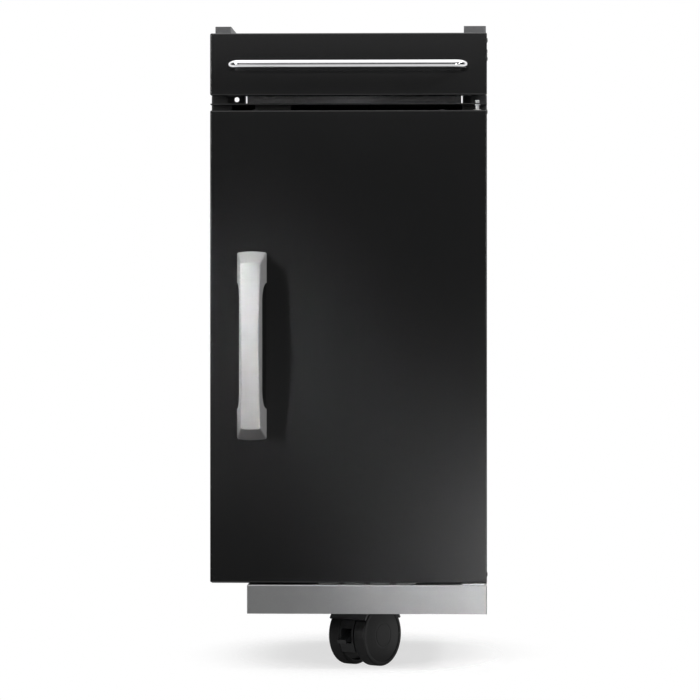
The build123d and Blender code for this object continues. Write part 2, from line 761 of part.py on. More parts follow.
pull_bar_y = front_y - pull_standoff + pull_diameter / 2
with BuildPart() as drawer_pull:
    with BuildLine() as pull_path:
        FilletPolyline(
            (-pull_leg_x, front_y, pull_level),
            (-pull_leg_x, pull_bar_y, pull_level),
            (pull_leg_x, pull_bar_y, pull_level),
            (pull_leg_x, front_y, pull_level),
            radius=pull_bend_radius,
        )
    with BuildSketch(Plane(origin=pull_spots[0], z_dir=FRONT)):
        Circle(pull_diameter / 2)
    sweep(path=pull_path.wires()[0])
    drill(pull_spots, BACK, screw_radius + thread_gap, pull_screw_length)
save(drawer_pull, "drawer_pull")

with BuildPart() as pull_screws:
    for x, y, z in pull_spots:
        fastener(Vector(x, y + door_sheet, z), FRONT, screw_radius, pull_screw_length,
                 screw_head_radius, screw_head_height)
save(pull_screws, "pull_screws")

# Door: an outer pan, an inner liner, bushes on the pivots, and plugs in the top edge
handle_screw_spots = [(handle_x, front_y, handle_height + step * (handle_length - handle_foot_length) / 2)
                      for step in (-1, 1)]
plug_x = side_x - plug_edge_distance
plug_spots = [(sign * plug_x, front_y + door_thickness / 2, door_top) for _, sign in SIDES]
with BuildPart() as door_panel:
    slab((-side_x, front_y, door_bottom), (side_x, front_y + door_thickness, door_top))
    fillet(door_panel.edges().filter_by(Axis.Y), door_edge_radius)
    fillet(door_panel.faces().sort_by(Axis.Y)[0].edges(), door_edge_radius)
    offset(amount=-door_sheet, openings=door_panel.faces().sort_by(Axis.Y)[-1])
    drill([(hinge_x, hinge_y, door_top), (hinge_x, hinge_y, door_bottom)], UP, bush_radius + thread_gap, 3)
    drill(plug_spots, UP, plug_radius + thread_gap, 3)
    drill(handle_screw_spots, BACK, handle_screw_radius + thread_gap, 3)
save(door_panel, "door_panel")

door_back = front_y + door_thickness
with BuildPart() as door_liner:
    slab(
        (-side_x + tray_gap, door_back - liner_flange, door_bottom + tray_gap),
        (side_x - tray_gap, door_back, door_top - tray_gap),
    )
    fillet(door_liner.edges().filter_by(Axis.Y), door_edge_radius)
    offset(amount=-liner_sheet, openings=door_liner.faces().sort_by(Axis.Y)[0])
save(door_liner, "door_liner")

for name, seat, inward in (("upper", door_top, DOWN), ("lower", door_bottom, UP)):
    with BuildPart() as hinge_bush:
        fastener(Vector(hinge_x, hinge_y, seat), inward, bush_radius, bush_length,
                 bush_flange_radius, bush_flange_height)
        drill([(hinge_x, hinge_y, seat)], UP, hinge_pin_radius + running_gap, bush_length + 1)
    save(hinge_bush, f"{name}_hinge_bush")

with BuildPart() as door_plugs:
    for spot in plug_spots:
        fastener(Vector(spot), DOWN, plug_radius, plug_stem_length, plug_head_radius, plug_head_height)
    fillet(door_plugs.faces().group_by(Axis.Z)[-1].edges(), plug_head_height * 0.7)
save(door_plugs, "door_plugs")

strike_z = deck_bottom - catch_height
with BuildPart() as strike_plate:
    slab(
        (catch_x - strike_width / 2, door_back, strike_z),
        (catch_x + strike_width / 2, door_back + strike_sheet, strike_z + strike_height),
    )
    fillet(strike_plate.edges().filter_by(Axis.Y), bend_radius)
save(strike_plate, "strike_plate")

# Door handle: a drafted block with a bowed face, scooped out behind for the fingers
handle_plane = Plane(origin=(handle_x, front_y, handle_height), x_dir=(1, 0, 0), z_dir=(0, -1, 0))
scoop_plane = Plane(origin=(handle_x, front_y, handle_height), x_dir=(0, 0, 1), z_dir=(1, 0, 0))
scoop_rise = handle_projection - handle_grip_thickness
with BuildPart() as door_handle:
    foot = crowned_bar(handle_plane, handle_base_width, handle_length, handle_end_crown)
    face = crowned_bar(
        handle_plane.offset(handle_projection),
        handle_face_width,
        handle_length - 2 * handle_end_slope,
        handle_end_crown * handle_face_width / handle_base_width,
    )
    loft([foot, face])
    fillet(door_handle.edges().filter_by(lambda edge: edge.bounding_box().size.Y > 1), handle_corner_radius)
    with BuildSketch(scoop_plane):
        with BuildLine():
            end, low, high = handle_length / 2, handle_projection - handle_bow, handle_projection + handle_bow
            ThreePointArc((-end, low), (0, handle_projection), (end, low))
            Polyline((end, low), (end, high), (-end, high), (-end, low))
        make_face()
    extrude(amount=handle_base_width, both=True, mode=Mode.SUBTRACT)
    fillet(door_handle.faces().sort_by(Axis.Y)[0].edges(), handle_edge_radius)
    with BuildSketch(scoop_plane):
        SlotOverall(handle_length - 2 * handle_foot_length, 2 * scoop_rise)
    extrude(amount=handle_base_width, both=True, mode=Mode.SUBTRACT)
    drill(handle_screw_spots, BACK, handle_screw_radius + thread_gap, handle_screw_length)
save(door_handle, "door_handle")

with BuildPart() as handle_screws:
    for x, y, z in handle_screw_spots:
        fastener(Vector(x, y + door_sheet, z), FRONT, handle_screw_radius, handle_screw_length,
                 screw_head_radius + 1, screw_head_height)
save(handle_screws, "handle_screws")


def build_caster(end, swivel_y, heading):
    """Make one twin-wheel caster that trails along a heading, counted in degrees from +X."""
    wheel_radius = wheel_diameter / 2
    trail = Vector(cos(radians(heading)), sin(radians(heading)), 0)
    across = trail.cross(UP)
    swivel = Vector(caster_x, swivel_y, 0)
    axle = swivel + trail * caster_trail + UP * wheel_radius
    side_plane = Plane(origin=axle, x_dir=trail, z_dir=across)
    pivot = axle - trail * lever_pivot_reach + UP * lever_pivot_rise
    boss_bottom = plate_bottom - bearing_height
    guard_inner = wheel_radius + hood_gap
    guard_outer = guard_inner + hood_wall
    guard_span = hood_lead_angle - hood_tail_angle
    guard_width = wheel_gap + 2 * wheel_width
    kingpin_bottom = boss_bottom - kingpin_length

    with BuildPart() as caster_plate:
        half = caster_plate_size / 2
        slab((caster_x - half, swivel_y - half, plate_bottom), (caster_x + half, swivel_y + half, plate_top))
        fillet(caster_plate.edges().filter_by(Axis.Z), caster_plate_sheet * 2)
        peg(swivel + UP * plate_bottom, DOWN, bearing_radius, bearing_height)
        drill([swivel + UP * plate_top], UP, kingpin_radius + thread_gap, bearing_height + 2 * caster_plate_sheet)
        drill([spot for spot in bolt_spots if abs(spot[1] - swivel_y) < half], UP, bolt_radius + thread_gap, 4)
    save(caster_plate, f"{end}_caster_plate")

    with BuildPart() as kingpin:
        peg(swivel + UP * plate_top, DOWN, kingpin_radius, plate_top - kingpin_bottom)
        chamfer(kingpin.faces().sort_by(Axis.Z)[0].edges(), kingpin_radius / 5)
    save(kingpin, f"{end}_kingpin")

    with BuildPart() as caster_hood:
        with BuildSketch(side_plane.offset(-hood_web / 2)):
            with BuildLine():
                over = CenterArc((0, 0), guard_outer, hood_tail_angle, guard_span)
                lead = CenterArc((0, 0), wheel_radius, hood_lead_angle, hood_foot_angle - hood_lead_angle)
                boss = CenterArc((0, 0), hood_boss_radius, 250, 110)
                Line(over @ 1, lead @ 0)
                Line(lead @ 1, boss @ 0)
                Line(boss @ 1, over @ 0)
            make_face()
        extrude(amount=hood_web)
        with BuildSketch(side_plane.offset(-guard_width / 2)):
            with BuildLine():
                outer = CenterArc((0, 0), guard_outer, hood_tail_angle, guard_span)
                inner = CenterArc((0, 0), guard_inner, hood_tail_angle, guard_span)
                Line(outer @ 0, inner @ 0)
                Line(outer @ 1, inner @ 1)
            make_face()
        extrude(amount=guard_width)
        peg(swivel + UP * wheel_radius, UP, barrel_radius, boss_bottom - seat_gap - wheel_radius)
        peg(swivel + UP * (kingpin_bottom - seat_gap), UP, kingpin_radius + running_gap,
            boss_bottom, mode=Mode.SUBTRACT)
        drill([axle], across, axle_radius + thread_gap, hood_web)
        with BuildSketch(side_plane.offset(-lever_width / 2 - lever_slot_gap)):
            with Locations((-wheel_radius, 0)):
                Rectangle(2 * (wheel_radius - lever_pivot_reach + lever_hub_radius + 2), lever_slot_height)
        extrude(amount=lever_width + 2 * lever_slot_gap, mode=Mode.SUBTRACT)
        drill([pivot], across, brake_pin_radius + thread_gap, hood_web)
    save(caster_hood, f"{end}_caster_hood")

    with BuildPart() as caster_axle:
        peg(axle - across * axle_length / 2, across, axle_radius, axle_length)
        chamfer(caster_axle.edges().filter_by(GeomType.CIRCLE), axle_radius / 5)
    save(caster_axle, f"{end}_caster_axle")

    for name, sign in (("near", 1), ("far", -1)):
        outward = across * sign
        inside = wheel_gap / 2
        outside = inside + wheel_width
        hub_face = hood_web / 2 + 2 * fit_gap
        blind_end = axle_length / 2 + seat_gap
        rim = wheel_radius - wheel_rim
        bore = axle_radius + running_gap
        recess = inside + wheel_recess
        crown = outside + wheel_cap_crown
        cap_rise = wheel_cap_crown + wheel_cap_groove
        cap_sphere = (wheel_cap_radius**2 + cap_rise**2) / (2 * cap_rise)
        cap_angle = degrees(asin(wheel_cap_radius / cap_sphere))
        with BuildPart() as wheel:
            with BuildSketch(Plane(origin=axle, x_dir=outward, z_dir=outward.cross(UP))):
                with BuildLine():
                    edge = Polyline(
                        (blind_end, 0),
                        (blind_end, bore),
                        (hub_face, bore),
                        (hub_face, wheel_hub_radius),
                        (recess, wheel_hub_radius + wheel_shoulder),
                        (recess, rim - wheel_shoulder),
                        (inside, rim),
                        (inside, wheel_radius - wheel_shoulder),
                        (inside + wheel_shoulder, wheel_radius),
                        (outside - wheel_shoulder, wheel_radius),
                        (outside, wheel_radius - wheel_shoulder),
                        (outside, wheel_cap_radius + wheel_cap_groove),
                        (outside - wheel_cap_groove, wheel_cap_radius),
                    )
                    cap = CenterArc((crown - cap_sphere, 0), cap_sphere, 0, cap_angle)
                    Line(cap @ 0, edge @ 0)
                make_face()
            revolve(axis=Axis(axle, outward))
        save(wheel, f"{end}_{name}_wheel")

    with BuildPart() as brake_pin:
        peg(pivot - across * (hood_web / 2 - seat_gap), across, brake_pin_radius, hood_web - 2 * seat_gap)
    save(brake_pin, f"{end}_brake_pin")

    slope = radians(lever_slope)
    reach = lever_length / 2
    with BuildPart() as brake_lever:
        with BuildSketch(side_plane.offset(-lever_width / 2)):
            with Locations((-lever_pivot_reach, lever_pivot_rise)):
                Circle(lever_hub_radius)
            with Locations(Location((-lever_pivot_reach - reach * cos(slope), lever_pivot_rise - reach * sin(slope), 0),
                                    (0, 0, lever_slope))):
                Rectangle(lever_length, lever_thickness)
            with Locations((-lever_pivot_reach, lever_pivot_rise)):
                Circle(brake_pin_radius + running_gap, mode=Mode.SUBTRACT)
        extrude(amount=lever_width)
    save(brake_lever, f"{end}_brake_lever")


build_caster("front", front_caster_y, front_heading)
build_caster("rear", rear_caster_y, rear_heading)
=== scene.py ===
import json
import logging
import math
from dataclasses import dataclass
from enum import Enum
from typing import Any, Sequence

import bmesh
import bpy
import numpy as np
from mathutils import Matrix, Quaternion, Vector


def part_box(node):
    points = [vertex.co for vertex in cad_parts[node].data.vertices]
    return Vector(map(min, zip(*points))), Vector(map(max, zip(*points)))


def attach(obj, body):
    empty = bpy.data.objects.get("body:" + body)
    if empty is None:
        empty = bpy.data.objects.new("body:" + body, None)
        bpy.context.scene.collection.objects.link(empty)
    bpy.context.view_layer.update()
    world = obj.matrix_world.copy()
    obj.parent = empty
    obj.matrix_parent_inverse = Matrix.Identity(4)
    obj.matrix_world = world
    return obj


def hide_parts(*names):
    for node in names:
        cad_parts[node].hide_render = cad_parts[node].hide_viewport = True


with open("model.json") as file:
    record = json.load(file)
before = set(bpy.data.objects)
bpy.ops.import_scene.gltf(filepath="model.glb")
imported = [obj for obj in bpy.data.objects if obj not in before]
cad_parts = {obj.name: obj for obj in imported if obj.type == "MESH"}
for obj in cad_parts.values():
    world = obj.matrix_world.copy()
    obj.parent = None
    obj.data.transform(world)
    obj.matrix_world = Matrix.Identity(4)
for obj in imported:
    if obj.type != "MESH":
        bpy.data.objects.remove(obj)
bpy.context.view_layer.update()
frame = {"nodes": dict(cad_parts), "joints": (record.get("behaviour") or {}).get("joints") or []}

LOG = logging.getLogger("grill_side_cabinet")

MM = 0.001
MERGE = 1e-6  # corners closer than this, in metres, become one
SLIVER = 1e-7  # edges shorter than this, in metres, are dissolved
NOISE_ROUGHNESS = 0.55
MIX_LOW, MIX_HIGH, MIX_RESULT = 6, 7, 2  # a colour Mix node's sockets
FULL_TURN = 2 * np.pi
WHITE = (1.0, 1.0, 1.0, 1.0)
X_AXIS, Y_AXIS, Z_AXIS = np.eye(3)

Array = np.ndarray
Colour = tuple[float, float, float]
Point = tuple[float, float, float]
Step = tuple[float, float, float, float]


class Body(Enum):
    """The bodies that new pieces ride on; a caster's own bodies are named after its end."""

    CABINET = "cabinet"
    DOOR = "door"
    DRAWER = "drawer"


class Slot(Enum):
    """The record's material slots, named alongside the new pieces."""

    ENAMEL = "black_enamel"
    CASTING = "satin_casting"
    CHROME = "chrome_rod"
    PLASTIC = "black_plastic"


class Detail(Enum):
    """How many octaves a noise has."""

    PLAIN = 1.0
    SOFT = 2.0
    FULL = 3.0
    RICH = 4.0


class Value:
    """A shader socket that can be used in plain arithmetic."""

    def __init__(self, graph: "Graph", socket: bpy.types.NodeSocket | None) -> None:
        """Wrap one output socket of a graph, or none for a node that ends a tree."""
        self.graph = graph
        self.socket = socket

    def _math(self, operation: str, first: Any, second: Any) -> "Value":
        """Add a Math node for two operands."""
        return self.graph.node("ShaderNodeMath", {"operation": operation}, {0: first, 1: second})

    def __add__(self, other: Any) -> "Value":
        """Sum."""
        return self._math("ADD", self, other)

    def __radd__(self, other: Any) -> "Value":
        """Sum with a number on the left."""
        return self._math("ADD", other, self)

    def __rsub__(self, other: Any) -> "Value":
        """Difference from a number on the left."""
        return self._math("SUBTRACT", other, self)

    def __mul__(self, other: Any) -> "Value":
        """Product."""
        return self._math("MULTIPLY", self, other)

    def __rmul__(self, other: Any) -> "Value":
        """Product with a number on the left."""
        return self._math("MULTIPLY", other, self)

    def at_most(self, limit: float) -> "Value":
        """The smaller of this value and a limit."""
        return self._math("MINIMUM", self, limit)

    def at_least(self, limit: float) -> "Value":
        """The larger of this value and a limit."""
        return self._math("MAXIMUM", self, limit)


Input = Value | float | Sequence[float]
Maps = tuple[Value, Value, Value]


class Graph:
    """A node tree that is filled by one generic method."""

    def __init__(self, tree: bpy.types.NodeTree) -> None:
        """Start from an emptied tree."""
        self.tree = tree
        tree.nodes.clear()

    def node(
        self, kind: str, settings: dict[str, Any], inputs: dict[Any, Input], output: Any = 0
    ) -> Value:
        """Add a node, set it up and connect it.

        Args:
            kind: the node's type name.
            settings: attributes that are set first, such as a Math node's operation.
            inputs: values or links by socket name or index.
            output: the socket, by name or index, that is handed back.

        Returns:
            The chosen output as a value.
        """
        made = self.tree.nodes.new(kind)
        for key, setting in settings.items():
            setattr(made, key, setting)
        for key, given in inputs.items():
            if isinstance(given, Value):
                self.tree.links.new(given.socket, made.inputs[key])
            else:
                made.inputs[key].default_value = given
        return Value(self, made.outputs[output] if len(made.outputs) else None)

    def place(self) -> Value:
        """Object coordinates, in metres."""
        return self.node("ShaderNodeTexCoord", {}, {}, "Object")

    def stretched(self, scale: Sequence[float]) -> Value:
        """Object coordinates with a scale of their own along each axis."""
        return self.node("ShaderNodeMapping", {}, {"Vector": self.place(), "Scale": scale})

    def ray(self, kind: str) -> Value:
        """1 for light rays of a kind, and 0 for the others."""
        return self.node("ShaderNodeLightPath", {}, {}, kind)

    def noise(
        self, period: float, detail: Detail = Detail.FULL, where: Value | None = None
    ) -> Value:
        """Smooth noise from 0 to 1.

        Args:
            period: about how far it is across a blob, in metres.
            detail: how many octaves are laid over each other.
            where: the coordinates to read, if they aren't the plain object ones.

        Returns:
            The noise.
        """
        inputs = {
            "Vector": where or self.place(),
            "Scale": 1.0 / period,
            "Detail": detail.value,
            "Roughness": NOISE_ROUGHNESS,
        }
        return self.node("ShaderNodeTexNoise", {}, inputs)

    def cells(self, period: float) -> Value:
        """A random grey per crystal.

        Args:
            period: about how far it is across a crystal, in metres.

        Returns:
            The grey, from 0 to 1.
        """
        inputs = {"Vector": self.place(), "Scale": 1.0 / period}
        colour = self.node("ShaderNodeTexVoronoi", {}, inputs, "Color")
        return self.node("ShaderNodeSeparateColor", {}, {0: colour})

    def blend(self, factor: Value, low: Colour, high: Colour) -> Value:
        """A colour between two.

        Args:
            factor: how far the colour lies from the low one to the high one, from 0 to 1.
            low: the colour at 0.
            high: the colour at 1.

        Returns:
            The blended colour.
        """
        settings = {"data_type": "RGBA", "clamp_factor": True}
        inputs = {"Factor": factor, MIX_LOW: (*low, 1.0), MIX_HIGH: (*high, 1.0)}
        return self.node("ShaderNodeMix", settings, inputs, MIX_RESULT)

    def ramp(self, value: Value, start: float, stop: float, low: float, high: float) -> Value:
        """A smooth step of a value.

        Args:
            value: the value that is followed.
            start: where the step starts.
            stop: where the step ends.
            low: the result at the start and before it.
            high: the result at the end and past it.

        Returns:
            The stepped value.
        """
        inputs = {
            "Value": value,
            "From Min": start,
            "From Max": stop,
            "To Min": low,
            "To Max": high,
        }
        return self.node("ShaderNodeMapRange", {"interpolation_type": "SMOOTHSTEP"}, inputs)

    def bump(self, height: Value, depth: float) -> Value:
        """A normal tilted by a height map that is a depth deep, in metres."""
        return self.node("ShaderNodeBump", {}, {"Height": height, "Distance": depth})


@dataclass(frozen=True)
class Finish:
    """What every finish has: a name, ranges of colour and roughness, and its metal and gloss."""

    name: str
    dark: Colour
    light: Colour
    smooth: float
    rough: float
    metallic: float = 0.0
    specular: float = 0.5

    def pattern(self, graph: Graph) -> Maps:
        """The maps of this finish.

        Args:
            graph: the material's graph.

        Returns:
            A colour factor, a roughness factor and a normal.
        """
        raise NotImplementedError

    def material(self) -> bpy.types.Material:
        """Make the material, or hand back the one made before.

        Returns:
            A material whose colour and roughness follow the finish's maps.
        """
        made = bpy.data.materials.get(self.name)
        if made:
            return made
        made = bpy.data.materials.new(self.name)
        made.use_nodes = True
        graph = Graph(made.node_tree)
        tint, wear, normal = self.pattern(graph)
        inputs = {
            "Base Color": graph.blend(tint, self.dark, self.light),
            "Roughness": self.smooth + wear * (self.rough - self.smooth),
            "Metallic": self.metallic,
            "Specular IOR Level": self.specular,
            "Normal": normal,
        }
        shader = graph.node("ShaderNodeBsdfPrincipled", {}, inputs)
        graph.node("ShaderNodeOutputMaterial", {}, {"Surface": shader})
        return made


@dataclass(frozen=True)
class Enamel(Finish):
    """Stoved enamel: a faint orange peel, with soft haze where hands and cloths have been."""

    peel: float = 2.4 * MM
    peel_depth: float = 0.004 * MM
    fine_peel: float = 0.4
    fine_share: float = 0.5
    haze: float = 90 * MM
    speck: float = 0.9 * MM

    def pattern(self, graph: Graph) -> Maps:
        """Haze drives the roughness, a fine speck the colour and two peel waves the normal.

        Args:
            graph: the material's graph.

        Returns:
            A colour factor, a roughness factor and a normal.
        """
        coarse = graph.noise(self.peel, Detail.PLAIN)
        fine = graph.noise(self.peel * self.fine_peel, Detail.PLAIN)
        haze = graph.noise(self.haze, Detail.RICH)
        speck = graph.noise(self.speck, Detail.SOFT)
        return speck, haze, graph.bump(coarse + self.fine_share * fine, self.peel_depth)


@dataclass(frozen=True)
class MetallicPaint(Finish):
    """Silver paint: fine flakes in the colour, and a smooth film over them."""

    flake: float = 0.35 * MM
    flake_share: float = 0.6
    cloud: float = 14 * MM
    drift: float = 40 * MM
    film: float = 1.8 * MM
    film_depth: float = 0.006 * MM

    def pattern(self, graph: Graph) -> Maps:
        """Flakes drive the colour, a slow drift the roughness and the film the normal.

        Args:
            graph: the material's graph.

        Returns:
            A colour factor, a roughness factor and a normal.
        """
        cloud = graph.noise(self.cloud, Detail.SOFT)
        flakes = self.flake_share * graph.cells(self.flake) + (1 - self.flake_share) * cloud
        film = graph.noise(self.film, Detail.PLAIN)
        return flakes, graph.noise(self.drift), graph.bump(film, self.film_depth)


@dataclass(frozen=True)
class Plated(Finish):
    """Dull zinc: overlapping crystals, with streaks along the rolling direction."""

    crystal: float = 5 * MM
    small_crystal: float = 0.45
    crystal_share: float = 0.55
    streak: Point = (1.0, 0.06, 1.0)
    streak_width: float = 1.2 * MM
    grain: float = 0.5 * MM
    relief: float = 0.01 * MM

    def pattern(self, graph: Graph) -> Maps:
        """Crystals and streaks share the colour; the crystals also change the gloss.

        Args:
            graph: the material's graph.

        Returns:
            A colour factor, a roughness factor and a normal.
        """
        large = graph.cells(self.crystal)
        small = graph.cells(self.crystal * self.small_crystal)
        crystals = 0.5 * (large + small)
        streaks = graph.noise(self.streak_width, Detail.SOFT, graph.stretched(self.streak))
        colour = self.crystal_share * crystals + (1 - self.crystal_share) * streaks
        return colour, crystals, graph.bump(graph.noise(self.grain, Detail.SOFT), self.relief)


@dataclass(frozen=True)
class PrimerWithPaintedShade(Finish):
    """Pale primer in the middle and black beyond a distance from the middle: painted light and
    shade, the pale middle partly standing in for light and the black ends painted shade.
    """

    # distance from the middle where the painted shade begins
    painted_shade_from: float = 144 * MM
    edge: float = 3 * MM
    mottle: float = 12 * MM
    mottle_share: float = 0.2
    tooth: float = 0.5 * MM
    tooth_depth: float = 0.01 * MM

    def pattern(self, graph: Graph) -> Maps:
        """The painted shade at the ends drives the colour, and a fine tooth the normal.

        Args:
            graph: the material's graph.

        Returns:
            A colour factor, a roughness factor and a normal.
        """
        across = graph.node("ShaderNodeSeparateXYZ", {}, {0: graph.place()}, "X")
        away = graph.node("ShaderNodeMath", {"operation": "ABSOLUTE"}, {0: across})
        # painted shade: the colour goes black beyond a set distance from the middle and stays
        # pale within it
        painted_shade_mask = graph.ramp(away, self.painted_shade_from, self.painted_shade_from + self.edge, 1.0, 0.0)
        mottle = (1 - self.mottle_share) + self.mottle_share * graph.noise(self.mottle)
        tooth = graph.noise(self.tooth, Detail.SOFT)
        return painted_shade_mask * mottle, tooth, graph.bump(tooth, self.tooth_depth)


@dataclass(frozen=True)
class Casting(Finish):
    """Satin cast alloy: tumbled grain with a slow drift in brightness."""

    grain: float = 0.32 * MM
    grain_share: float = 0.4
    relief: float = 0.012 * MM
    drift: float = 22 * MM
    sheen: float = 9 * MM

    def pattern(self, graph: Graph) -> Maps:
        """Fine grain on the normal, and a drift on colour and gloss.

        Args:
            graph: the material's graph.

        Returns:
            A colour factor, a roughness factor and a normal.
        """
        grain = graph.noise(self.grain, Detail.SOFT)
        drift = (1 - self.grain_share) * graph.noise(self.drift) + self.grain_share * grain
        return drift, graph.noise(self.sheen), graph.bump(grain, self.relief)


@dataclass(frozen=True)
class Chrome(Finish):
    """Bright plating with the faintest wipe marks."""

    wipe: Point = (0.15, 1.0, 1.0)
    wipe_width: float = 2.5 * MM
    wave: float = 12 * MM
    wave_depth: float = 0.004 * MM

    def pattern(self, graph: Graph) -> Maps:
        """Wipe marks run along the rod, in its colour and its gloss, over a long low wave.

        Args:
            graph: the material's graph.

        Returns:
            A colour factor, a roughness factor and a normal.
        """
        marks = graph.noise(self.wipe_width, Detail.FULL, graph.stretched(self.wipe))
        wave = graph.noise(self.wave, Detail.PLAIN)
        return marks, marks, graph.bump(wave, self.wave_depth)


@dataclass(frozen=True)
class Moulded(Finish):
    """Moulded plastic or rubber: a spark-eroded texture under a slight sheen."""

    texture: float = 0.6 * MM
    relief: float = 0.015 * MM
    flow: float = 18 * MM
    flow_share: float = 0.7
    mottle: float = 3 * MM

    def pattern(self, graph: Graph) -> Maps:
        """The mould's texture on the normal, and flow marks on colour and gloss.

        Args:
            graph: the material's graph.

        Returns:
            A colour factor, a roughness factor and a normal.
        """
        flow = graph.noise(self.flow, Detail.RICH)
        mottle = graph.noise(self.mottle, Detail.SOFT)
        wear = self.flow_share * flow + (1 - self.flow_share) * mottle
        return flow, wear, graph.bump(graph.noise(self.texture), self.relief)


DOOR_ENAMEL = Enamel(
    "door_enamel", dark=(0.0057, 0.0058, 0.0059), light=(0.0077, 0.0078, 0.008),
    smooth=0.21, rough=0.25,
)
DRAWER_ENAMEL = Enamel(
    "drawer_enamel", dark=(0.006, 0.0061, 0.0062), light=(0.0082, 0.0083, 0.0085),
    smooth=0.2, rough=0.24,
)
BODY_ENAMEL = Enamel(
    "body_enamel", dark=(0.02, 0.0202, 0.0205), light=(0.026, 0.0262, 0.0266),
    smooth=0.36, rough=0.46, specular=0.35,
)
SILVER_PAINT = MetallicPaint(
    "silver_flake_paint", dark=(0.305, 0.306, 0.308), light=(0.365, 0.367, 0.37),
    smooth=0.31, rough=0.36, metallic=0.8,
)
ZINC = Plated(
    "dull_zinc", dark=(0.48, 0.485, 0.49), light=(0.64, 0.645, 0.65),
    smooth=0.28, rough=0.45, metallic=1.0,
)
GALVANISED = Plated(
    "galvanised_sheet", dark=(0.42, 0.425, 0.435), light=(0.60, 0.605, 0.615),
    smooth=0.32, rough=0.5, metallic=1.0, crystal=11 * MM,
)
PHOSPHATE = Plated(
    "grey_phosphate", dark=(0.13, 0.131, 0.133), light=(0.18, 0.181, 0.184),
    smooth=0.5, rough=0.62, metallic=0.6, crystal=2 * MM,
)
# crossmember colour: a pale middle that partly stands in for light, and black ends that are
# painted shade
PRIMER_WITH_PAINTED_SHADE = PrimerWithPaintedShade(
    "pale_primer_painted_shade", dark=(0.02, 0.02, 0.02), light=(0.74, 0.74, 0.75),
    smooth=0.6, rough=0.75,
)
CAST_ALLOY = Casting(
    "satin_cast_alloy", dark=(0.268, 0.268, 0.268), light=(0.31, 0.31, 0.31),
    smooth=0.38, rough=0.46, metallic=0.15,
)
CHROME = Chrome(
    "bright_chrome", dark=(0.80, 0.80, 0.81), light=(0.86, 0.86, 0.87),
    smooth=0.05, rough=0.1, metallic=1.0,
)
WHEEL_PLASTIC = Moulded(
    "wheel_nylon", dark=(0.006, 0.006, 0.0062), light=(0.009, 0.009, 0.0093),
    smooth=0.44, rough=0.56, specular=0.35,
)
HOOD_PLASTIC = Moulded(
    "hood_plastic", dark=(0.010, 0.0105, 0.011), light=(0.016, 0.0165, 0.017),
    smooth=0.26, rough=0.4,
)
CATCH_PLASTIC = Moulded(
    "catch_plastic", dark=(0.004, 0.004, 0.004), light=(0.007, 0.007, 0.007),
    smooth=0.7, rough=0.8,
)
NYLON = Moulded(
    "natural_nylon", dark=(0.66, 0.65, 0.61), light=(0.74, 0.73, 0.69),
    smooth=0.4, rough=0.55,
)
RUBBER = Moulded(
    "moulded_rubber", dark=(0.018, 0.018, 0.018), light=(0.028, 0.028, 0.028),
    smooth=0.65, rough=0.8, texture=0.9 * MM,
)


def dress(finish: Finish, *nodes: str) -> None:
    """Give CAD nodes a finish.

    Args:
        finish: the finish to use.
        nodes: the names of the nodes.
    """
    made = finish.material()
    for node in nodes:
        shown = frame["nodes"][node]
        if not shown.material_slots:
            shown.data.materials.append(made)
        for holder in shown.material_slots:
            holder.material = made


def points(mesh: bpy.types.Mesh) -> Array:
    """The corners of a mesh.

    Args:
        mesh: the mesh to read.

    Returns:
        Points as (corner, xyz), in metres.
    """
    flat = np.empty(len(mesh.vertices) * 3, np.float32)
    mesh.vertices.foreach_get("co", flat)
    return flat.reshape(-1, 3).astype(float)


def solid_boxes(node: str) -> tuple[Array, Array]:
    """The boxes of the separate solids of a group node.

    Every corner starts with a number of its own, and each edge hands the smaller of its two
    numbers to both ends until nothing changes, so that the corners of a solid share a number.

    Args:
        node: the node's name.

    Returns:
        The lowest and the highest corner of each solid.
    """
    merged = bpy.data.meshes.new("merged_solids")
    shape = bmesh.new()
    shape.from_mesh(frame["nodes"][node].data)
    bmesh.ops.remove_doubles(shape, verts=shape.verts, dist=MERGE)
    shape.to_mesh(merged)
    shape.free()
    spots = points(merged)
    ends = np.empty(len(merged.edges) * 2, np.int32)
    merged.edges.foreach_get("vertices", ends)
    bpy.data.meshes.remove(merged)
    edges = ends.reshape(-1, 2)
    number = np.arange(len(spots))
    while True:
        least = number[edges].min(1, keepdims=True)
        if (number[edges] == least).all():
            break
        np.minimum.at(number, edges, least)
    inside = (number == np.unique(number)[:, None])[..., None]
    low = np.where(inside, spots, np.inf).min(1)
    high = np.where(inside, spots, -np.inf).max(1)
    return low, high


def quads(rows: int, cols: int, around: bool) -> Array:
    """Corner numbers of the faces of a grid, whose columns may close on themselves.

    Args:
        rows: points along the first parameter.
        cols: points along the second parameter.
        around: whether the last column meets the first.

    Returns:
        An array of four corner numbers per face.
    """
    steps = np.arange(cols if around else cols - 1)
    row, col = np.meshgrid(np.arange(rows - 1), steps, indexing="ij")
    after = (col + 1) % cols
    here, there = row * cols, (row + 1) * cols
    return np.stack([here + col, here + after, there + after, there + col], -1).reshape(-1, 4)


def surface(
    name: str, patches: Array, around: bool = True, sharp: float = 35.0
) -> bpy.types.Object:
    """Make a mesh object from one or more grids of points.

    Args:
        name: the object's name.
        patches: points as (patch, row, column, xyz), in metres.
        around: whether the columns close on themselves.
        sharp: edges that turn more than this angle, in degrees, stay crisp.

    Returns:
        The object, at the origin, with its seams merged and its faces outwards.
    """
    count, rows, cols, _ = patches.shape
    faces = quads(rows, cols, around)
    every = (np.arange(count)[:, None, None] * rows * cols + faces[None]).reshape(-1, 4)
    mesh = bpy.data.meshes.new(name)
    mesh.from_pydata(patches.reshape(-1, 3).tolist(), [], every.tolist())
    return finish_mesh(name, mesh, sharp)


